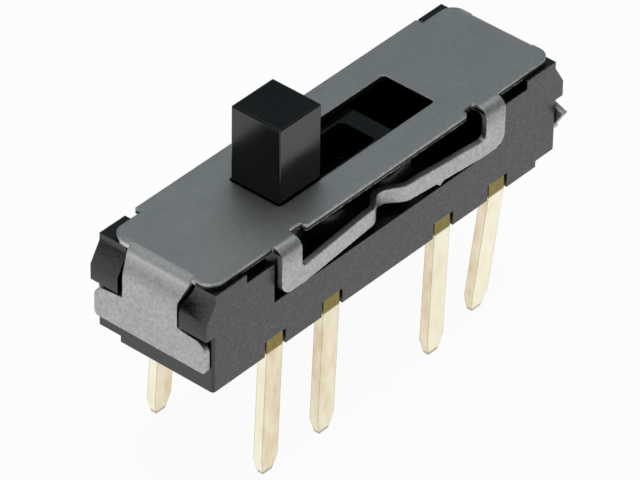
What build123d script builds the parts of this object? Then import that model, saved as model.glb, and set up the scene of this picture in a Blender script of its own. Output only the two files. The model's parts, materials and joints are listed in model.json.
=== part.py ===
from build123d import *
import os

# Slide switch for a circuit board: two poles, three positions, eight flat pins in two rows.
# The origin is the centre of the housing's underside, where it seats on the board.
# +X runs along the housing, +Y across it and +Z up towards the knob. Sizes are in millimetres.
# The near side, with the cover's detent strip, faces -Y. The slider is drawn at the -X end of its travel.

# Layout of the contacts
pitch = 2.54                    # spacing of the pins, and one step of the slider
travel = 2 * pitch              # three positions
pin_places = (-2 * pitch, -pitch, pitch, 2 * pitch)
common_place = pitch            # the pin that the slider joins to one of the others

# Base
base_length = 15.62
base_width = 4.52
base_height = 3.51              # top of the walls, where the cover lies
cavity_depth = 2.41             # from the top of the walls to the floor
side_wall = 0.67
end_wall = 0.8
window_length = 10.3            # opening of the near wall, behind the detent strip
window_depth = 1.72             # from the top of the walls to the window's sill
rebate_width = 0.36             # the long walls' outer top edge is cut away between the corner blocks
rebate_height = 0.3
near_block = 1.45               # length of the near corner blocks, from the end of the housing
far_block = 1.2
lug_proud = 0.3                 # reach of the corner lugs past the end of the base
lug_under = 2.05                # height of the ledge that holds the tab's wings
lug_land = 0.55                 # upright stretch of the lug above its ledge
lug_rim = 0.25                  # upright stretch at the lug's top
lug_top_inset = 0.1
neck_relief = 0.35              # depth of the channel behind the cover's neck
base_edge = 0.1                 # rounding of the base's upright corners
corner_relief = 0.9             # two diagonal corners of the underside are cut back
relief_depth = 0.22

# Terminals
pin_width = 0.72
pin_thickness = 0.33
pin_inset = 0.03                # from the side of the base to the pin's outer face
pin_length = 4.54               # below the underside
pin_lean = 0.19                 # all pins' tips lean towards -X by this much, as photographed
bent_pin_lean = 0.4             # the near row's last tip also leans inwards by this much
splayed_pin_lean = 0.14         # the far row's first tip also leans outwards by this much
tip_length = 0.55
tip_width = 0.4
tip_thickness = 0.2
pad_width = 1.3
pad_gap = 0.7                   # between the two rows of pads
pad_bend = 0.12                 # inner radius of the bend from pin to pad
pin_notch_share = 0.7013        # height of the pin's notch, as a share of the floor below its pad
pin_notch_side = 0.1            # clearance of the notch beside the pin
pin_notch_back = 0.22           # clearance of the notch behind the bent pin

# Slider
knob_length = 1.84
knob_width = 1.9
knob_height = 2.69              # above the cover
knob_edge = 0.06
knob_side_clearance = 0.06
knob_end_clearance = 0.05
end_clearance = 0.05            # slider to the cavity's end, at the end of its travel
guide_clearance = 0.08          # slider's foot to the cavity's side
deck_clearance = 0.1            # slider's deck to the cover
foot_drop = 0.05                # foot's top below the window's sill
clip_space = 0.4                # slider's underside above the floor
end_band = 0.67                 # wall at each end of the slider's two recesses
recess_width = 1.38
recess_corner = 0.2
recess_depth = 1.3
detent_depth = 0.28
detent_half_width = 0.75
detent_place = 0.15             # place of the cover's kink along X, which the notches follow
detent_clearance = 0.06         # cover's kink to the ridges between the notches

# Contact clips, one for each row
clip_sheet = 0.12
clip_margin = 0.2               # clip inside the pad's inner edge and the foot's side
clip_flat = 2.4                 # length of the flat middle, held in the slider
clip_tip = 0.5                  # length of each turned-up tip
clip_tip_rise = 0.14
clip_bend = 0.2
clip_clearance = 0.03           # clip to the sides of its seat
contact_clearance = 0.05        # clip's contact points to the pads

# Cover
sheet = 0.2
plate_side_inset = 0.15         # plate's edge inside the side of the base
plate_end_inset = 0.1           # plate's end inside the end of the base
plate_lip = 0.06                # the near edge stands out by this much between the legs
lip_corner = 0.14
plate_step = 0.25               # the plate is this much narrower at its two far corners
plate_step_length = 1.38
plate_corner = 0.48
slot_corner = 0.12
tab_proud = 0.25                # tab's outer face past the end of the base
tab_width = 4.34
tab_foot = 0.78                 # height of the tab's lower edge
tab_foot_corner = 0.15
wing_clearance = 0.1            # tab's wings below the lugs
wing_fall = 0.1                 # the wings' upper edges drop by this much to their outer ends
wing_corner = 0.42
nib_reach = 0.34                # the +X tab's near wing is drawn out to a point, as photographed
nib_height = 1.57
nib_root = 1.0
neck_width = 2.12
neck_flare = 0.28               # the neck is this much wider on its near side at its bend
neck_taper = 0.7                # length of the flared stretch
neck_slope = 0.9                # height over which the neck leans out from the plate to the tab
neck_bend = 0.2                 # radius of the bend at the plate, in the middle of the sheet
neck_ease = 1.2                 # radius of the bend at the tab
neck_clearance = 0.14           # neck to the lugs
strip_proud = 0.23              # detent strip's outer face past the side of the base, at its legs
strip_height = 0.6
strip_clearance = 0.27          # strip above the window's sill
strip_bow = 0.28                # the strip leans in by this much from its legs to its kink
kink_half_length = 0.75
kink_depth = 0.6
kink_bend = 0.5
kink_waist = 0.1                # the strip's upper edge sinks by this much to its kink
kink_waist_reach = 1.2
leg_width = 0.87
leg_clearance = 0.09            # leg to the window's end
leg_corner = 0.44
leg_crotch = 0.2
leg_relief_width = 0.5          # notch in the plate's edge on each leg's inner side
leg_relief_depth = 0.2
leg_relief_corner = 0.11
burr_place = 2.1                # a burr on the strip's lower edge, as photographed
burr_width = 0.3
burr_drop = 0.12

# Places that follow from the sizes above
base_end = base_length / 2
base_side = base_width / 2
cover_top = base_height + sheet
floor_top = base_height - cavity_depth
window_sill = base_height - window_depth
cavity_half_length = base_end - end_wall
cavity_half_width = base_side - side_wall
window_end = window_length / 2
lug_face = base_end + lug_proud
lug_top = base_end - lug_top_inset
pin_outer = base_side - pin_inset
pin_inner = pin_outer - pin_thickness
pin_shoulder = tip_length - pin_length
pad_under = floor_top - pin_thickness
pin_notch_height = pin_notch_share * pad_under
pad_inner = pad_gap / 2
slider_place = -travel / 2
slider_length = 2 * (cavity_half_length - end_clearance) - travel
slider_under = floor_top + clip_space
deck_top = base_height - deck_clearance
knob_top = cover_top + knob_height
foot_top = window_sill - foot_drop
foot_side = cavity_half_width - guide_clearance
clip_inner = pad_inner + clip_margin
clip_outer = foot_side - clip_margin
clip_row = (clip_inner + clip_outer) / 2
clip_width = clip_outer - clip_inner
clip_arm_run = pitch - clip_flat / 2
clip_arm_drop = clip_space - contact_clearance
clip_seat = clip_flat + 2 * (clip_sheet + clip_clearance) * clip_arm_run / clip_arm_drop
strip_face = base_side + strip_proud
strip_bottom = window_sill + strip_clearance
strip_top = strip_bottom + strip_height
strip_middle = strip_face - sheet / 2
kink_slope = (kink_depth**2 + kink_half_length**2) ** 0.5
kink_reach = kink_depth - kink_bend * (kink_slope / kink_half_length - 1)
kink_inner = strip_face - strip_bow - kink_reach - sheet
slider_side = kink_inner - detent_clearance
slot_length = knob_length + travel + 2 * knob_end_clearance
slot_width = knob_width + 2 * knob_side_clearance
tab_face = base_end + tab_proud
tab_side = tab_width / 2
neck_side = neck_width / 2
flare_side = neck_side + neck_flare
flare_start = base_height - neck_taper
wing_top = lug_under - wing_clearance
wing_end = wing_top - wing_fall
plate_end = base_end - plate_end_inset
plate_side = base_side - plate_side_inset
leg_outer = window_end - leg_clearance
leg_inner = leg_outer - leg_width
leg_middle = leg_outer - leg_width / 2
bend_outer = strip_face - plate_side
bend_inner = bend_outer - sheet
leg_join = (strip_top + leg_crotch + cover_top - bend_outer) / 2

# Pins whose tips lean inwards (more than 0) or outwards, by row and number
pin_leans = {("near", 4): bent_pin_lean, ("far", 1): -splayed_pin_lean}
rows = {"near": -1, "far": 1}

os.makedirs("parts", exist_ok=True)


def make_terminal(place, row, lean):
    """One flat pin whose top is bent inwards into a pad. row is -1 for the near row, 1 for the far one."""
    shoulder_share = -pin_shoulder / pin_length
    shoulder_lean = lean * shoulder_share
    tip_place = place - pin_lean
    shoulder_place = place - pin_lean * shoulder_share
    tip_inset = (pin_thickness - tip_thickness) / 2
    pad_end = place + pad_width / 2
    pad_start = place - pad_width / 2
    if place == common_place:
        pad_start -= pitch
    bend = (pin_outer, floor_top)
    crook = (pin_inner, pad_under)
    side_points = [
        bend,
        (pin_outer, 0),
        (pin_outer - shoulder_lean, pin_shoulder),
        (pin_outer - lean - tip_inset, -pin_length),
        (pin_inner - lean + tip_inset, -pin_length),
        (pin_inner - shoulder_lean, pin_shoulder),
        (pin_inner, 0),
        crook,
        (pad_inner, pad_under),
        (pad_inner, floor_top),
    ]
    with BuildPart() as terminal:
        # The bent metal seen from the end of the switch
        with BuildSketch(Plane.YZ.offset(place)) as section:
            with BuildLine():
                Polyline(*[(row * y, z) for y, z in side_points], close=True)
            make_face()
            for corner, radius in ((bend, pad_bend + pin_thickness), (crook, pad_bend)):
                spot = (row * corner[0], corner[1], 0)
                fillet(section.vertices().sort_by_distance(spot)[0], radius)
        extrude(amount=pitch + pad_width, both=True)
        # Its outline seen from the side: tapered tip, pin and wider pad
        with BuildSketch(Plane.XZ):
            with BuildLine():
                Polyline(
                    (tip_place - tip_width / 2, -pin_length),
                    (tip_place + tip_width / 2, -pin_length),
                    (shoulder_place + pin_width / 2, pin_shoulder),
                    (place + pin_width / 2, 0),
                    (place + pin_width / 2, pin_notch_height),
                    (pad_end, pin_notch_height),
                    (pad_end, floor_top),
                    (pad_start, floor_top),
                    (pad_start, pin_notch_height),
                    (place - pin_width / 2, pin_notch_height),
                    (place - pin_width / 2, 0),
                    (shoulder_place - pin_width / 2, pin_shoulder),
                    close=True,
                )
            make_face()
        extrude(amount=base_width, both=True, mode=Mode.INTERSECT)
    return terminal.part


def make_clip(row):
    """A bridging contact: flat in the middle, with two arms that reach down to the pads."""
    flat_height = slider_under + clip_sheet / 2
    contact_height = floor_top + contact_clearance + clip_sheet / 2
    half_route = [
        (clip_flat / 2, flat_height),
        (pitch, contact_height),
        (pitch + clip_tip, contact_height + clip_tip_rise),
    ]
    points = [(slider_place - x, z) for x, z in reversed(half_route)]
    points += [(slider_place + x, z) for x, z in half_route]
    with BuildPart() as clip:
        with BuildSketch(Plane.XZ.offset(-row * clip_row)):
            with BuildLine() as route:
                FilletPolyline(*points, radius=clip_bend)
            trace(route.wires()[0], clip_sheet)
        extrude(amount=clip_width / 2, both=True)
    return clip.part


def make_tab():
    """The cover's T-shaped tab at the +X end, with the bend that joins it to the plate."""
    middle_top = cover_top - sheet / 2
    tab_middle = tab_face - sheet / 2
    crease = (plate_end, middle_top)
    ease = (tab_middle, middle_top - neck_slope)
    with BuildPart() as tab:
        # The bent sheet seen from the side: the neck leaves the plate at a crease and leans out to the tab
        with BuildSketch(Plane.XZ):
            with BuildLine() as route:
                Polyline((plate_end - plate_step_length, middle_top), crease, ease, (tab_middle, tab_foot))
                fillet(route.vertices().sort_by_distance((*crease, 0))[0], neck_bend)
                fillet(route.vertices().sort_by_distance((*ease, 0))[0], neck_ease)
            trace(route.wires()[0], sheet)
        extrude(amount=tab_side, both=True)
        # Its outline seen from the end: neck, flared on the near side, and two wings
        with BuildSketch(Plane.YZ) as outline:
            with BuildLine():
                Polyline(
                    (neck_side, cover_top),
                    (neck_side, wing_top),
                    (tab_side, wing_end),
                    (tab_side, tab_foot),
                    (-tab_side, tab_foot),
                    (-tab_side, wing_end),
                    (-neck_side, wing_top),
                    (-neck_side, flare_start),
                    (-flare_side, base_height),
                    (-flare_side, cover_top),
                    close=True,
                )
            make_face()
            for side in (-tab_side, tab_side):
                for height, radius in ((wing_end, wing_corner), (tab_foot, tab_foot_corner)):
                    fillet(outline.vertices().sort_by_distance((side, height, 0))[0], radius)
        extrude(amount=base_length, mode=Mode.INTERSECT)
    return tab.part


def make_strip():
    """The cover's detent strip on the near side: a kinked band on two legs that bend down from the plate."""
    half_route = [
        (kink_half_length, strip_bow - strip_middle),
        (leg_inner - leg_crotch, -strip_middle),
        (leg_outer + leg_width, -strip_middle),
    ]
    points = [(-x, y) for x, y in reversed(half_route)]
    points += [(0, strip_bow + kink_depth - strip_middle)] + half_route
    points[2:5] = [(x + detent_place, y) for x, y in points[2:5]]
    rise = leg_join - strip_bottom
    with BuildPart() as strip:
        # The band seen from above
        with BuildSketch(Plane.XY.offset(strip_bottom - burr_drop)):
            with BuildLine() as route:
                FilletPolyline(*points, radius=kink_bend)
            trace(route.wires()[0], sheet)
        extrude(amount=burr_drop + rise)
        # Its outline seen from the side, a wide U
        with BuildSketch(Plane.XZ) as outline:
            with Locations((0, strip_bottom)):
                Rectangle(2 * leg_outer, rise, align=(Align.CENTER, Align.MIN))
            fillet(outline.vertices().group_by(Axis.Y)[0], leg_corner)
            with Locations((0, strip_top)):
                Rectangle(2 * leg_inner, rise, align=(Align.CENTER, Align.MIN), mode=Mode.SUBTRACT)
            crotches = [(end * leg_inner, strip_top, 0) for end in (-1, 1)]
            fillet([outline.vertices().sort_by_distance(spot)[0] for spot in crotches], leg_crotch)
            with BuildLine():
                Polyline(
                    (detent_place - kink_waist_reach, strip_top),
                    (detent_place + kink_waist_reach, strip_top),
                    (detent_place, strip_top - kink_waist),
                    close=True,
                )
            make_face(mode=Mode.SUBTRACT)
            with BuildLine():
                Polyline(
                    (burr_place, strip_bottom),
                    (burr_place + burr_width, strip_bottom),
                    (burr_place + burr_width / 2, strip_bottom - burr_drop),
                    close=True,
                )
            make_face()
        extrude(amount=base_width, both=True, mode=Mode.INTERSECT)
        # Bends from the plate into the legs
        for leg in (-leg_middle, leg_middle):
            with BuildSketch(Plane.YZ.offset(leg)) as bend:
                with BuildLine():
                    Polyline(
                        (bend_outer - plate_side, base_height),
                        (bend_outer - plate_side, cover_top),
                        (-strip_face, cover_top),
                        (-strip_face, leg_join),
                        (sheet - strip_face, leg_join),
                        (sheet - strip_face, base_height),
                        close=True,
                    )
                make_face()
                outside = bend.vertices().sort_by_distance((-strip_face, cover_top, 0))[0]
                fillet(outside, bend_outer)
                inside = bend.vertices().sort_by_distance((sheet - strip_face, base_height, 0))[0]
                fillet(inside, bend_inner)
            extrude(amount=leg_width / 2, both=True)
    return strip.part


# Terminals
terminals = []
for row_name, row in rows.items():
    for number, place in enumerate(pin_places, start=1):
        terminal = make_terminal(place, row, pin_leans.get((row_name, number), 0))
        terminal.label = f"terminal_{row_name}_{number}"
        export_step(terminal, f"parts/{terminal.label}.step")
        terminals.append(terminal)

# Base: a moulded housing, open at the top, its near wall cut away for the detent strip
with BuildPart() as base:
    # End walls and corner lugs in one outline, seen from the side
    with BuildSketch(Plane.XZ):
        with BuildLine():
            Polyline(
                (0, 0),
                (base_end, 0),
                (base_end, lug_under),
                (lug_face, lug_under),
                (lug_face, lug_under + lug_land),
                (lug_top, base_height - lug_rim),
                (lug_top, base_height),
                (0, base_height),
                close=True,
            )
        make_face()
        mirror(about=Plane.YZ)
    extrude(amount=base_side, both=True)
    fillet(base.edges().filter_by(Axis.Z).group_by(Axis.Z)[0], base_edge)
    # Cavity for the slider
    with BuildSketch(Plane.XY.offset(floor_top)):
        Rectangle(2 * cavity_half_length, 2 * cavity_half_width)
    extrude(amount=base_height, mode=Mode.SUBTRACT)
    # Window of the near wall
    with BuildSketch(Plane.XY.offset(window_sill)):
        with Locations((0, -base_side)):
            Rectangle(window_length, 2 * side_wall)
    extrude(amount=base_height, mode=Mode.SUBTRACT)
    # Channels for the cover's necks, between the lugs
    channel_side = neck_side + neck_clearance
    with BuildSketch(Plane.YZ.offset(base_end - neck_relief)):
        with BuildLine():
            Polyline(
                (channel_side, lug_under),
                (channel_side, base_height),
                (-flare_side - neck_clearance, base_height),
                (-channel_side, flare_start),
                (-channel_side, lug_under),
                close=True,
            )
        make_face()
    channel = extrude(amount=neck_relief + lug_proud, mode=Mode.SUBTRACT)
    mirror(channel, about=Plane.YZ, mode=Mode.SUBTRACT)
    # Rebates of the long walls' top edges: beside the window, and all along the far side
    near_end = base_end - near_block
    far_end = base_end - far_block
    rebates = (
        (-1, -near_end, -window_end),
        (-1, window_end, near_end),
        (1, -far_end, far_end),
    )
    with BuildSketch(Plane.XY.offset(base_height)):
        for side, first, last in rebates:
            with Locations(((first + last) / 2, side * base_side)):
                Rectangle(last - first, 2 * rebate_width)
    extrude(amount=-rebate_height, mode=Mode.SUBTRACT)
    # Notches round the pins at the underside, deeper behind the bent pin
    with BuildSketch(Plane.XY):
        for row_name, row in rows.items():
            for number, place in enumerate(pin_places, start=1):
                depth = pin_inset + pin_thickness
                if pin_leans.get((row_name, number), 0) > 0:
                    depth += pin_notch_back
                with Locations((place, row * base_side)):
                    Rectangle(pin_width + 2 * pin_notch_side, 2 * depth)
    extrude(amount=pin_notch_height, mode=Mode.SUBTRACT)
    # Two diagonal corners of the underside cut back
    with BuildSketch(Plane.XY):
        with Locations((-base_end, base_side), (base_end, -base_side)):
            Rectangle(2 * corner_relief, 2 * corner_relief)
    extrude(amount=relief_depth, mode=Mode.SUBTRACT)
    # Seats of the terminals, moulded round them
    for terminal in terminals:
        add(terminal, mode=Mode.SUBTRACT)
base.part.label = "base"
export_step(base.part, "parts/base.step")

# Slider: knob, deck with two open recesses, notched near flank and guiding foot
with BuildPart() as slider:
    with BuildSketch(Plane.XY.offset(slider_under)):
        with Locations((slider_place, 0)):
            Rectangle(slider_length, 2 * slider_side)
    extrude(amount=deck_top - slider_under)
    # Detent notches, three on the near flank
    with BuildSketch(Plane.XY.offset(slider_under)):
        for step in (-pitch, 0, pitch):
            middle = slider_place + detent_place + step
            with BuildLine():
                Polyline(
                    (middle - detent_half_width, -slider_side),
                    (middle + detent_half_width, -slider_side),
                    (middle, detent_depth - slider_side),
                    close=True,
                )
            make_face()
    extrude(amount=deck_top, mode=Mode.SUBTRACT)
    # Recesses each side of the knob
    recess_end = slider_length / 2 - end_band
    recess_length = recess_end - knob_length / 2
    recess_middle = (recess_end + knob_length / 2) / 2
    with BuildSketch(Plane.XY.offset(deck_top)):
        with Locations((slider_place - recess_middle, 0), (slider_place + recess_middle, 0)):
            RectangleRounded(recess_length, recess_width, recess_corner)
    extrude(amount=-recess_depth, mode=Mode.SUBTRACT)
    # Foot that runs between the walls
    with BuildSketch(Plane.XY.offset(slider_under)):
        with Locations((slider_place, 0)):
            Rectangle(slider_length, 2 * foot_side)
    extrude(amount=foot_top - slider_under)
    # Knob
    with BuildSketch(Plane.XY.offset(deck_top)):
        with Locations((slider_place, 0)):
            Rectangle(knob_length, knob_width)
    extrude(amount=knob_top - deck_top)
    knob_rim = slider.faces().sort_by(Axis.Z)[-1].edges()
    knob_uprights = slider.edges().filter_by(Axis.Z).filter_by(lambda e: e.length > knob_height)
    fillet(knob_rim + knob_uprights, knob_edge)
    # Shallow seats for the two clips in the underside
    with BuildSketch(Plane.XY.offset(slider_under)):
        with Locations((slider_place, -clip_row), (slider_place, clip_row)):
            Rectangle(clip_seat, clip_width + 2 * clip_clearance)
    extrude(amount=clip_sheet, mode=Mode.SUBTRACT)
slider.part.label = "slider"
export_step(slider.part, "parts/slider.step")

# Contact clips
for row_name, row in rows.items():
    clip = make_clip(row)
    clip.label = f"contact_clip_{row_name}"
    export_step(clip, f"parts/{clip.label}.step")

# Cover: one folded sheet, with a slotted plate, a tab at each end and a detent strip on the near side
with BuildPart() as cover:
    with BuildSketch(Plane.XY.offset(base_height)) as plate:
        Rectangle(2 * plate_end, 2 * plate_side)
        with Locations((-plate_end, plate_side), (plate_end, plate_side)):
            Rectangle(2 * plate_step_length, 2 * plate_step, mode=Mode.SUBTRACT)
        ends = plate.vertices().group_by(Axis.X)
        fillet(ends[0] + ends[-1], plate_corner)
        # The tabs bring their own sheet to the plate's ends, from where their bends start
        neck_middle = (neck_side - flare_side) / 2
        with Locations((-plate_end, neck_middle), (plate_end, neck_middle)):
            Rectangle(2 * (neck_bend + sheet), neck_side + flare_side, mode=Mode.SUBTRACT)
        lip_end = leg_inner - leg_relief_width
        with Locations((0, -plate_side)):
            Rectangle(2 * lip_end, 2 * plate_lip)
        for side in (-1, 1):
            with Locations((side * (leg_inner - leg_relief_width / 2), -plate_side)):
                RectangleRounded(
                    leg_relief_width, 2 * leg_relief_depth, leg_relief_corner, mode=Mode.SUBTRACT
                )
            lip_tip = (side * lip_end, -plate_side - plate_lip, 0)
            fillet(plate.vertices().sort_by_distance(lip_tip)[0], lip_corner)
        RectangleRounded(slot_length, slot_width, slot_corner, mode=Mode.SUBTRACT)
    extrude(amount=sheet)
    tab = make_tab()
    add(tab)
    mirror(tab, about=Plane.YZ)
    add(make_strip())
    # The drawn-out point of one wing
    with BuildSketch(Plane.YZ.offset(tab_face - sheet)):
        with BuildLine():
            Polyline(
                (wing_corner - tab_side, wing_end),
                (-tab_side - nib_reach, nib_height),
                (-tab_side, nib_root),
                (wing_corner - tab_side, nib_root),
                close=True,
            )
        make_face()
    extrude(amount=sheet)
cover.part.label = "cover"
export_step(cover.part, "parts/cover.step")
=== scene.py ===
import json
import math

import bpy
from mathutils import Matrix, Vector


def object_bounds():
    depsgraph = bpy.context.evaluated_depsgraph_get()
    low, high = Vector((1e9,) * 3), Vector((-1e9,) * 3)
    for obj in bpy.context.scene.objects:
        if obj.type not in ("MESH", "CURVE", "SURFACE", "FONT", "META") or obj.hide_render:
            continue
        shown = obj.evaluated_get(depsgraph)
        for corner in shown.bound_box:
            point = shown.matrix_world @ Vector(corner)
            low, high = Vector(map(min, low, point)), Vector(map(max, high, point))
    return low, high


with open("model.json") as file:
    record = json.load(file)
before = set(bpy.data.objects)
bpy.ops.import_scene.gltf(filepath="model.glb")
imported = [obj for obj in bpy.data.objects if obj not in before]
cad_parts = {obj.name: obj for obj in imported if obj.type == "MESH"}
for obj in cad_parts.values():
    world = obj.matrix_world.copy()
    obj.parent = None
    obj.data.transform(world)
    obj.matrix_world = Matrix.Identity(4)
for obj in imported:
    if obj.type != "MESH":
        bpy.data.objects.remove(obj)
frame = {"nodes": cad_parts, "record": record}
cad_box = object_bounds()

# Slide switch: finishes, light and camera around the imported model. Blender works in metres.
# Sizes and places below are in millimetres and angles in degrees, unless a comment says otherwise.
MM = 0.001
PER_MM = 1.0 / MM

# The photograph's camera
VIEW_AZIMUTH = -49.65
VIEW_ELEVATION = 37.53
VIEW_ROLL = 0.94
VIEW_DISTANCE = 182.0
VIEW_AIM = (-0.219, 0.225, -0.005)
VIEW_LENS = 342.1
SENSOR_WIDTH = 36.0
CLIP_START = 0.01               # metres
CLIP_END = 10.0                 # metres

# Shading of the CAD nodes
SMOOTH_ANGLE = 32               # an edge sharper than this stays sharp
FLAT_ANGLE = 0.3                # facets within this angle become one face
WELD_DISTANCE = 0.0005

# Values shared by the materials
NOISE_LOW, NOISE_HIGH = 0.3, 0.7    # most of a noise texture's values lie between these
NOISE_MIDDLE = 0.5
EDGE_TURN = (0.86, 0.995)       # cosines between which the rounding's turn counts as an edge
EDGE_SAMPLES = 6
MIX_FIRST, MIX_SECOND, MIX_RESULT = 6, 7, 2     # colour sockets of Blender's Mix node

# Where the cover's finish changes, as the (start, end) of each change
PLATE_SKIN = (3.66, 3.7)        # height, up to the plate's upper face
SLOT_END = (3.6, 3.7)           # from the middle along X, past the slot's walls
SLOT_SIDE = (1.2, 1.3)          # from the middle along Y, past the slot's walls
NECK_START = (7.5, 7.64)        # from the middle along X, onto a neck
NECK_SIDE = (1.3, 1.5)          # from the middle along Y, off a neck
NECK_TRACE = (0.0, 0.2)         # share of the neck's mask that ends the painted shade on the cut edge
LEG_SIDE = (-2.0, -1.9)         # along Y, off the strip's legs
BEND_FOOT = (2.9, 3.25)         # height, onto the bends of necks and legs
LOWER_EDGE_SHADE_FOOT = (3.48, 3.52)        # height, onto the painted shade on the lower half of the plate's cut edge
LOWER_EDGE_SHADE_TOP = (3.6, 3.65)          # height, off that half
HIGHLIGHT_FOOT = (3.08, 3.56)       # height, onto the necks' painted highlight band
HIGHLIGHT_TOP = (3.61, 3.69)        # height, off that band
UPRIGHT = (0.3, 0.5)            # how far a face may look up or down and still count as upright
GLINT_PITS = (0.44, 0.58)            # values of the pits where glints are painted on the edges
BEND_ROUGHNESS = 0.18           # added where the sheet is bent

# Where the base's and the pins' finishes change
BASE_SKIN = (2.2, 2.25)         # from the middle along Y, onto the base's long sides
LUG_GRAIN = 0.7                 # share of the long sides' grain that the rest of the base has
PIN_SIDEWAYS = (0.4, 0.6)       # how far a pin's face looks along X, from wide to narrow faces, which carry different painted light
PIN_WIDE_PAINTED_LIGHT = (-5.0, 4.0)     # along X, the wide faces go from tan to cream: painted light and shade
PIN_NARROW_PAINTED_LIGHT = (-4.6, -3.0)  # along X, the narrow faces go from cream to tan: painted light and shade
PIN_TIP = (-4.5, -4.4)          # height, off the cut tip's painted shade
PIN_ROOT = (-0.02, 0.05)        # height, onto the painted shade in the base's notch
PIN_PAD = (0.52, 0.6)           # height, onto the painted shade on the pad inside

# Floor and room
FLOOR_RADIUS = 0.45             # metres
FLOOR_CORNERS = 96
FLOOR_COLOUR = (0.94, 0.94, 0.94, 1)
FLOOR_ROUGHNESS = 0.9
FLOOR_SPECULAR = 0.1
FLOOR_WHITE_SHARE = 0.95
# The room's grey by height, from 0 straight below to 1 straight above
ROOM_GREYS = ((0.45, 0.9), (0.5, 0.6), (0.53, 0.35), (0.6, 0.2), (0.8, 0.17), (1.0, 0.15))
ROOM_TINT = (0.7, 0.97, 1.0)
ROOM_LIGHT_SIDE = 130           # azimuth of the room's light side, behind the object
ROOM_FADE = (-0.1, 0.6)         # cosine to that side, from the dim side to the light one
ROOM_DIM_LEVEL = 0.2            # strength on the dim side, against 1 on the light one

# Soft lamps: name, azimuth, elevation, size in metres, watts
LAMPS = (
    ("overhead", -50, 86, 0.5, 1.6),
    ("key", 130, 78, 0.6, 0.5),
    ("key_right", 95, 62, 0.4, 0.12),
    ("key_back", 165, 62, 0.4, 0.12),
)
LAMP_DISTANCE = 0.6             # metres


def smooth_by_angle(limit):
    """A geometry node group that shades smooth, apart from edges sharper than the limit."""
    group = bpy.data.node_groups.new("smooth_by_angle", "GeometryNodeTree")
    group.interface.new_socket("Geometry", in_out="INPUT", socket_type="NodeSocketGeometry")
    group.interface.new_socket("Geometry", in_out="OUTPUT", socket_type="NodeSocketGeometry")
    nodes, links = group.nodes, group.links
    start = nodes.new("NodeGroupInput")
    end = nodes.new("NodeGroupOutput")
    faces = nodes.new("GeometryNodeSetShadeSmooth")
    faces.domain = "FACE"
    edges = nodes.new("GeometryNodeSetShadeSmooth")
    edges.domain = "EDGE"
    angle = nodes.new("GeometryNodeInputMeshEdgeAngle")
    below = nodes.new("FunctionNodeCompare")
    below.operation = "LESS_THAN"
    below.inputs["B"].default_value = limit
    links.new(angle.outputs["Unsigned Angle"], below.inputs["A"])
    links.new(start.outputs[0], faces.inputs["Geometry"])
    links.new(faces.outputs["Geometry"], edges.inputs["Geometry"])
    links.new(below.outputs["Result"], edges.inputs["Shade Smooth"])
    links.new(edges.outputs["Geometry"], end.inputs[0])
    return group


def tidy_shading(node, smooth_group):
    """Joins a CAD node's facets and shades its curved faces smooth, with modifiers alone."""
    weld = node.modifiers.new("weld", "WELD")
    weld.merge_threshold = WELD_DISTANCE * MM
    flat = node.modifiers.new("flat_faces", "DECIMATE")
    flat.decimate_type = "DISSOLVE"
    flat.angle_limit = math.radians(FLAT_ANGLE)
    smooth = node.modifiers.new("smooth", "NODES")
    smooth.node_group = smooth_group
    normals = node.modifiers.new("normals", "WEIGHTED_NORMAL")
    normals.keep_sharp = True


def grey(level):
    """A grey as red, green and blue."""
    return (level, level, level)


def fill_ramp(elements, stops):
    """Sets a colour ramp's elements from stops of (position, colour)."""
    while len(elements) < len(stops):
        elements.new(1.0)
    for element, (position, colour) in zip(elements, stops):
        element.position = position
        element.color = (*colour, 1.0)


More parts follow.
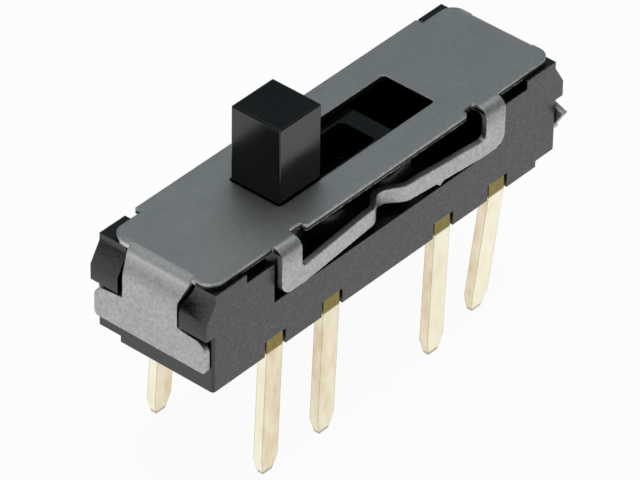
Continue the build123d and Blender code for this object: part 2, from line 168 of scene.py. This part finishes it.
class Finish:
    """A material with a Principled shader, and short helpers for its nodes."""

    def __init__(self, name):
        self.material = bpy.data.materials.new(name)
        self.material.use_nodes = True
        self.nodes = self.material.node_tree.nodes
        self.links = self.material.node_tree.links
        self.shader = self.nodes["Principled BSDF"]
        coordinates = self.nodes.new("ShaderNodeTexCoord")
        self.place = coordinates.outputs["Object"]
        self.normal = coordinates.outputs["Normal"]

    def mapped(self, scale):
        """Object coordinates, scaled per millimetre along X, Y and Z."""
        node = self.nodes.new("ShaderNodeMapping")
        node.inputs["Scale"].default_value = [s * PER_MM for s in scale]
        self.links.new(self.place, node.inputs["Vector"])
        return node.outputs["Vector"]

    def noise(self, scale, detail=3.0, roughness=0.55):
        """Noise from 0 to 1, with features of 1 / scale millimetres along each axis."""
        node = self.nodes.new("ShaderNodeTexNoise")
        node.inputs["Scale"].default_value = 1.0
        node.inputs["Detail"].default_value = detail
        node.inputs["Roughness"].default_value = roughness
        self.links.new(self.mapped(scale), node.inputs["Vector"])
        return node.outputs["Fac"]

    def ramp(self, value, stops):
        """Colours by value: stops are (position, colour)."""
        node = self.nodes.new("ShaderNodeValToRGB")
        fill_ramp(node.color_ramp.elements, stops)
        self.links.new(value, node.inputs["Fac"])
        return node.outputs["Color"]

    def tones(self, noise, first, second):
        """Colours from the first to the second over most of a noise's values."""
        return self.ramp(noise, [(NOISE_LOW, first), (NOISE_HIGH, second)])

    def between(self, value, low, high, start=NOISE_LOW, end=NOISE_HIGH):
        """A number that goes from low to high as value goes from start to end."""
        node = self.nodes.new("ShaderNodeMapRange")
        node.inputs["From Min"].default_value = start
        node.inputs["From Max"].default_value = end
        node.inputs["To Min"].default_value = low
        node.inputs["To Max"].default_value = high
        self.links.new(value, node.inputs["Value"])
        return node.outputs["Result"]

    def onto(self, value, change):
        """A mask that goes from 0 to 1 over a change of (start, end)."""
        return self.between(value, 0, 1, *change)

    def off(self, value, change):
        """A mask that goes from 1 to 0 over a change of (start, end)."""
        return self.between(value, 1, 0, *change)

    def both(self, first, second):
        """The product of two masks."""
        return self.math("MULTIPLY", first, second)

    def mix(self, share, first, second):
        """The first colour where share is 0, the second where it is 1."""
        node = self.nodes.new("ShaderNodeMix")
        node.data_type = "RGBA"
        self.links.new(share, node.inputs["Factor"])
        self.links.new(first, node.inputs[MIX_FIRST])
        self.links.new(second, node.inputs[MIX_SECOND])
        return node.outputs[MIX_RESULT]

    def blend(self, first, second):
        """The product of two colours."""
        node = self.nodes.new("ShaderNodeMix")
        node.data_type = "RGBA"
        node.blend_type = "MULTIPLY"
        node.inputs["Factor"].default_value = 1.0
        self.links.new(first, node.inputs[MIX_FIRST])
        self.links.new(second, node.inputs[MIX_SECOND])
        return node.outputs[MIX_RESULT]

    def along(self, axis):
        """One object coordinate, in millimetres."""
        node = self.nodes.new("ShaderNodeSeparateXYZ")
        self.links.new(self.mapped((1, 1, 1)), node.inputs["Vector"])
        return node.outputs[axis]

    def apart(self, axis):
        """The distance from the middle along an axis, either way, in millimetres."""
        return self.math("ABSOLUTE", self.along(axis), 0)

    def facing(self, axis):
        """How far a face looks along an axis of the piece, either way, from 0 to 1."""
        split = self.nodes.new("ShaderNodeSeparateXYZ")
        self.links.new(self.normal, split.inputs["Vector"])
        return self.math("ABSOLUTE", split.outputs[axis], 0)

    def rounded(self, radius):
        """Normals that round the piece's edges by a radius in millimetres."""
        node = self.nodes.new("ShaderNodeBevel")
        node.samples = EDGE_SAMPLES
        node.inputs["Radius"].default_value = radius * MM
        return node.outputs["Normal"]

    def edge(self, radius):
        """1 on the piece's edges and 0 away from them, by how far the rounding turns the normal."""
        node = self.nodes.new("ShaderNodeVectorMath")
        node.operation = "DOT_PRODUCT"
        self.links.new(self.rounded(radius), node.inputs[0])
        self.links.new(self.nodes.new("ShaderNodeNewGeometry").outputs["Normal"], node.inputs[1])
        return self.off(node.outputs["Value"], EDGE_TURN)

    def math(self, operation, first, second):
        """An operation on a value and a second value or number."""
        node = self.nodes.new("ShaderNodeMath")
        node.operation = operation
        self.links.new(first, node.inputs[0])
        if isinstance(second, bpy.types.NodeSocket):
            self.links.new(second, node.inputs[1])
        else:
            node.inputs[1].default_value = second
        return node.outputs[0]

    def bump(self, value, depth, base):
        """A bump of that depth in millimetres, on top of other normals."""
        node = self.nodes.new("ShaderNodeBump")
        node.inputs["Distance"].default_value = depth * MM
        node.inputs["Strength"].default_value = 1.0
        self.links.new(value, node.inputs["Height"])
        self.links.new(base, node.inputs["Normal"])
        return node.outputs["Normal"]

    def use(self, **sockets):
        """Links outputs, or sets numbers, on the shader's sockets. An underscore stands for a space."""
        for name, value in sockets.items():
            socket = self.shader.inputs[name.replace("_", " ")]
            if isinstance(value, bpy.types.NodeSocket):
                self.links.new(value, socket)
            else:
                socket.default_value = value
        return self.material


def make_steel():
    """Satin plated sheet with fine pits and dull bends, painted highlights on the necks and edges, painted
    shade on the slot's walls and cut edges, and a painted cool tint on top.
    """
    finish = Finish("cover_steel")
    skin = finish.noise((22, 22, 22), detail=3)
    cloud = finish.noise((0.5, 1.1, 1.1), detail=2)
    grain = finish.noise((1.5, 30, 30), detail=2)
    pits = finish.noise((9, 9, 9), detail=2, roughness=0.7)
    height = finish.along("Z")
    across = finish.along("Y")
    from_middle_x = finish.apart("X")
    from_middle_y = finish.apart("Y")

    # Masks of the sheet's parts
    below_top = finish.off(height, PLATE_SKIN)
    slot = finish.both(finish.off(from_middle_x, SLOT_END), finish.off(from_middle_y, SLOT_SIDE))
    neck = finish.both(finish.onto(from_middle_x, NECK_START), finish.off(from_middle_y, NECK_SIDE))
    leg = finish.both(below_top, finish.off(across, LEG_SIDE))
    bent = finish.both(finish.math("MAXIMUM", neck, leg), finish.onto(height, BEND_FOOT))
    upright = finish.both(finish.off(finish.facing("Z"), UPRIGHT), finish.off(neck, NECK_TRACE))
    # Painted shade: the slot's walls and the lower half of the plate's outer cut edges turn near black
    lower_edge_shade = finish.both(finish.off(height, LOWER_EDGE_SHADE_TOP), finish.onto(height, LOWER_EDGE_SHADE_FOOT))
    painted_shade = finish.math("MAXIMUM", finish.both(below_top, slot), finish.both(upright, lower_edge_shade))
    # Painted highlight: a light band across each neck's bend
    neck_highlight_band = finish.both(finish.off(height, HIGHLIGHT_TOP), finish.onto(height, HIGHLIGHT_FOOT))
    # Painted glints: bright specks along the edges
    glint_mask = finish.both(finish.edge(0.06), finish.onto(pits, GLINT_PITS))

    # Colours, each laid over the one before
    # The top's slight cool tint is a painted reflection of the room's tinted light
    painted_cool_top = finish.tones(pits, (0.39, 0.395, 0.395), (0.45, 0.455, 0.455))
    side = finish.tones(pits, grey(0.375), grey(0.545))
    faded = finish.tones(cloud, grey(0.93), grey(1.0))
    # Colour of the necks' painted highlight
    painted_highlight = finish.tones(pits, grey(0.76), grey(0.86))
    # Near-black colour of that painted shade
    cut_edge_shade = finish.tones(skin, grey(0.02), grey(0.05))
    # Colour of the painted glints
    painted_glint = finish.tones(skin, grey(0.6), grey(0.85))
    colour = finish.blend(finish.mix(below_top, painted_cool_top, side), faded)
    colour = finish.mix(finish.both(neck, neck_highlight_band), colour, painted_highlight)
    colour = finish.mix(painted_shade, colour, cut_edge_shade)
    colour = finish.mix(glint_mask, colour, painted_glint)
    satin = finish.between(skin, low=0.41, high=0.46)
    return finish.use(
        Base_Color=colour,
        Roughness=finish.math("ADD", satin, finish.math("MULTIPLY", bent, BEND_ROUGHNESS)),
        Normal=finish.bump(grain, 0.0006, finish.bump(skin, 0.0004, finish.rounded(0.06))),
        Metallic=1.0,
    )


def make_base_plastic():
    """Dark filled moulding: the filler's fine speckle on its long sides, and painted shade of near black
    everywhere else.
    """
    finish = Finish("base_moulding")
    speckle = finish.noise((9, 9, 9), detail=3, roughness=0.75)
    patch = finish.noise((1.6, 1.6, 1.6), detail=2)
    filled = finish.ramp(
        speckle, [(0.38, grey(0.0)), (0.5, (0.006, 0.006, 0.0063)), (0.66, (0.085, 0.085, 0.087))]
    )
    # Painted shade: near black inside, under the cover and on the lugs
    painted_shade_black = finish.tones(patch, grey(0.001), (0.002, 0.002, 0.0021))
    from_middle_y = finish.apart("Y")
    coarse = finish.between(from_middle_y, LUG_GRAIN, 1, *BASE_SKIN)
    grain = finish.both(finish.math("SUBTRACT", speckle, NOISE_MIDDLE), coarse)
    return finish.use(
        Base_Color=finish.mix(finish.onto(from_middle_y, BASE_SKIN), painted_shade_black, filled),
        Roughness=finish.between(speckle, low=0.16, high=0.24),
        Normal=finish.bump(grain, 0.012, finish.bump(patch, 0.004, finish.rounded(0.03))),
        Specular_IOR_Level=0.7,
    )


def make_slider_plastic():
    """Glossy black moulding with a faint skin."""
    finish = Finish("slider_moulding")
    skin = finish.noise((9, 9, 9), detail=3)
    flow = finish.noise((1.1, 1.1, 0.5), detail=2)
    return finish.use(
        Base_Color=finish.tones(skin, (0.0005, 0.001, 0.001), (0.001, 0.0016, 0.0017)),
        Roughness=finish.between(flow, low=0.15, high=0.21),
        Normal=finish.bump(skin, 0.0004, finish.bump(flow, 0.002, finish.rounded(0.02))),
        Specular_IOR_Level=0.56,
    )


def make_pin_gold():
    """Pale gold plating with drawing marks along the pin, with painted light and shade on its faces and cut
    tip, in the base's notches and on the pads inside.
    """
    finish = Finish("pin_plating")
    streak = finish.noise((16, 16, 1.2), detail=3)
    patch = finish.noise((2.2, 2.2, 1.1), detail=2)
    height = finish.along("Z")
    along = finish.along("X")
    tan = finish.ramp(
        patch, [(0.32, (0.74, 0.62, 0.42)), (0.52, (0.83, 0.73, 0.53)), (0.7, (0.88, 0.80, 0.61))]
    )
    cream = finish.ramp(
        patch, [(0.32, (0.93, 0.86, 0.65)), (0.52, (0.96, 0.91, 0.71)), (0.7, (0.97, 0.94, 0.77))]
    )
    # Painted light and shade: tan and cream laid by the face's direction and along X
    wide_painted_light = finish.mix(finish.onto(along, PIN_WIDE_PAINTED_LIGHT), tan, cream)
    narrow_painted_light = finish.mix(finish.onto(along, PIN_NARROW_PAINTED_LIGHT), cream, tan)
    faces = finish.mix(finish.onto(finish.facing("X"), PIN_SIDEWAYS), wide_painted_light, narrow_painted_light)
    outline = finish.ramp(finish.edge(0.055), [(0.0, grey(1.0)), (1.0, (0.62, 0.6, 0.56))])
    # Painted shade on the cut tip
    painted_shade = finish.tones(streak, (0.34, 0.31, 0.24), (0.46, 0.43, 0.34))
    # Painted shade on the pin in the base's notch
    notch_shade = finish.tones(streak, (0.17, 0.13, 0.03), (0.29, 0.23, 0.07))
    # Painted shade on the pads inside the base
    pad_shade = finish.tones(streak, (0.02, 0.016, 0.01), (0.035, 0.028, 0.018))
    colour = finish.mix(finish.off(height, PIN_TIP), finish.blend(faces, outline), painted_shade)
    colour = finish.mix(finish.onto(height, PIN_ROOT), colour, notch_shade)
    colour = finish.mix(finish.onto(height, PIN_PAD), colour, pad_shade)
    return finish.use(
        Base_Color=colour,
        Roughness=finish.between(streak, low=0.28, high=0.42),
        Normal=finish.bump(streak, 0.003, finish.bump(patch, 0.006, finish.rounded(0.03))),
        Metallic=1.0,
    )


def make_contact_metal():
    """Gold-plated spring bronze of the hidden contact clips."""
    finish = Finish("contact_metal")
    streak = finish.noise((1.0, 22, 22), detail=3)
    return finish.use(
        Base_Color=finish.tones(streak, (0.70, 0.55, 0.28), (0.82, 0.68, 0.38)),
        Roughness=finish.between(streak, low=0.24, high=0.36),
        Normal=finish.bump(streak, 0.002, finish.rounded(0.015)),
        Metallic=1.0,
    )


def dress_nodes():
    """Gives each CAD node the material of its slot, and smooth shading."""
    finishes = {
        "base_moulding": make_base_plastic(),
        "cover_steel": make_steel(),
        "slider_moulding": make_slider_plastic(),
        "pin_plating": make_pin_gold(),
        "contact_metal": make_contact_metal(),
    }
    smooth_group = smooth_by_angle(math.radians(SMOOTH_ANGLE))
    for subpart in frame["record"]["subparts"]:
        node = frame["nodes"][subpart["node"]]
        node.data.materials.clear()
        node.data.materials.append(finishes[subpart["material_slot"]])
        tidy_shading(node, smooth_group)


def background_rays(nodes, links):
    """1 for rays that show the background: from the camera, from gloss and through glass."""
    path = nodes.new("ShaderNodeLightPath")
    total = path.outputs["Is Camera Ray"]
    for name in ("Is Glossy Ray", "Is Transmission Ray"):
        either = nodes.new("ShaderNodeMath")
        either.operation = "MAXIMUM"
        links.new(total, either.inputs[0])
        links.new(path.outputs[name], either.inputs[1])
        total = either.outputs[0]
    return total


def make_floor():
    """A white sheet under the pins that keeps a soft shadow."""
    bpy.ops.mesh.primitive_circle_add(
        vertices=FLOOR_CORNERS, radius=FLOOR_RADIUS, fill_type="NGON", location=(0, 0, cad_box[0].z)
    )
    floor = bpy.context.object
    floor.name = "floor"
    material = bpy.data.materials.new("floor_white")
    material.use_nodes = True
    nodes, links = material.node_tree.nodes, material.node_tree.links
    shader = nodes["Principled BSDF"]
    shader.inputs["Base Color"].default_value = FLOOR_COLOUR
    shader.inputs["Roughness"].default_value = FLOOR_ROUGHNESS
    shader.inputs["Specular IOR Level"].default_value = FLOOR_SPECULAR
    white = nodes.new("ShaderNodeEmission")
    white.inputs["Strength"].default_value = 1.0
    share = nodes.new("ShaderNodeMath")
    share.operation = "MULTIPLY"
    share.inputs[1].default_value = FLOOR_WHITE_SHARE
    links.new(background_rays(nodes, links), share.inputs[0])
    mixed = nodes.new("ShaderNodeMixShader")
    links.new(share.outputs[0], mixed.inputs[0])
    links.new(shader.outputs[0], mixed.inputs[1])
    links.new(white.outputs[0], mixed.inputs[2])
    links.new(mixed.outputs[0], nodes["Material Output"].inputs["Surface"])
    floor.data.materials.append(material)


def direction_of(azimuth, elevation):
    """Unit vector from the object towards a place at that azimuth and elevation, as the camera's are."""
    a, e = math.radians(azimuth), math.radians(elevation)
    return Vector((math.sin(a) * math.cos(e), -math.cos(a) * math.cos(e), math.sin(e)))


def make_world():
    """A dim room, lighter at the horizon and behind the object, and white for the camera."""
    world = bpy.data.worlds.new("studio")
    bpy.context.scene.world = world
    world.use_nodes = True
    nodes, links = world.node_tree.nodes, world.node_tree.links
    room = nodes["Background"]
    direction = nodes.new("ShaderNodeTexCoord").outputs["Generated"]

    # The room's colour by height
    split = nodes.new("ShaderNodeSeparateXYZ")
    links.new(direction, split.inputs[0])
    rise = nodes.new("ShaderNodeMapRange")
    rise.inputs["From Min"].default_value = -1.0
    rise.inputs["From Max"].default_value = 1.0
    links.new(split.outputs["Z"], rise.inputs["Value"])
    ramp = nodes.new("ShaderNodeValToRGB")
    stops = [(position, [share * level for share in ROOM_TINT]) for position, level in ROOM_GREYS]
    fill_ramp(ramp.color_ramp.elements, stops)
    links.new(rise.outputs["Result"], ramp.inputs["Fac"])
    links.new(ramp.outputs["Color"], room.inputs["Color"])

    # Its strength by side
    behind = nodes.new("ShaderNodeVectorMath")
    behind.operation = "DOT_PRODUCT"
    behind.inputs[1].default_value = direction_of(ROOM_LIGHT_SIDE, 0)
    links.new(direction, behind.inputs[0])
    level = nodes.new("ShaderNodeMapRange")
    level.inputs["From Min"].default_value = ROOM_FADE[0]
    level.inputs["From Max"].default_value = ROOM_FADE[1]
    level.inputs["To Min"].default_value = ROOM_DIM_LEVEL
    links.new(behind.outputs["Value"], level.inputs["Value"])
    links.new(level.outputs["Result"], room.inputs["Strength"])

    # White for the camera
    white = nodes.new("ShaderNodeBackground")
    white.inputs["Color"].default_value = (1, 1, 1, 1)
    path = nodes.new("ShaderNodeLightPath")
    mixed = nodes.new("ShaderNodeMixShader")
    links.new(path.outputs["Is Camera Ray"], mixed.inputs[0])
    links.new(room.outputs[0], mixed.inputs[1])
    links.new(white.outputs[0], mixed.inputs[2])
    links.new(mixed.outputs[0], nodes["World Output"].inputs["Surface"])


def make_lamp(name, azimuth, elevation, size, watts):
    """A soft square lamp that looks at the object."""
    data = bpy.data.lights.new(name, "AREA")
    data.shape = "SQUARE"
    data.size = size
    data.energy = watts
    lamp = bpy.data.objects.new(name, data)
    bpy.context.scene.collection.objects.link(lamp)
    towards = direction_of(azimuth, elevation)
    lamp.location = towards * LAMP_DISTANCE
    lamp.rotation_euler = towards.to_track_quat("Z", "Y").to_euler()
    lamp.visible_camera = False


def make_camera():
    """The photograph's camera."""
    data = bpy.data.cameras.new("camera")
    data.sensor_width = SENSOR_WIDTH
    data.lens = VIEW_LENS
    data.clip_start = CLIP_START
    data.clip_end = CLIP_END
    camera = bpy.data.objects.new("camera", data)
    bpy.context.scene.collection.objects.link(camera)
    back = direction_of(VIEW_AZIMUTH, VIEW_ELEVATION)
    turn = back.to_track_quat("Z", "Y").to_matrix()
    roll = Matrix.Rotation(math.radians(VIEW_ROLL), 3, "Z")
    camera.matrix_world = (turn @ roll).to_4x4()
    camera.location = (Vector(VIEW_AIM) + back * VIEW_DISTANCE) * MM
    bpy.context.scene.camera = camera


dress_nodes()
make_floor()
make_world()
for lamp_row in LAMPS:
    make_lamp(*lamp_row)
make_camera()
bpy.context.scene.view_settings.view_transform = "Standard"
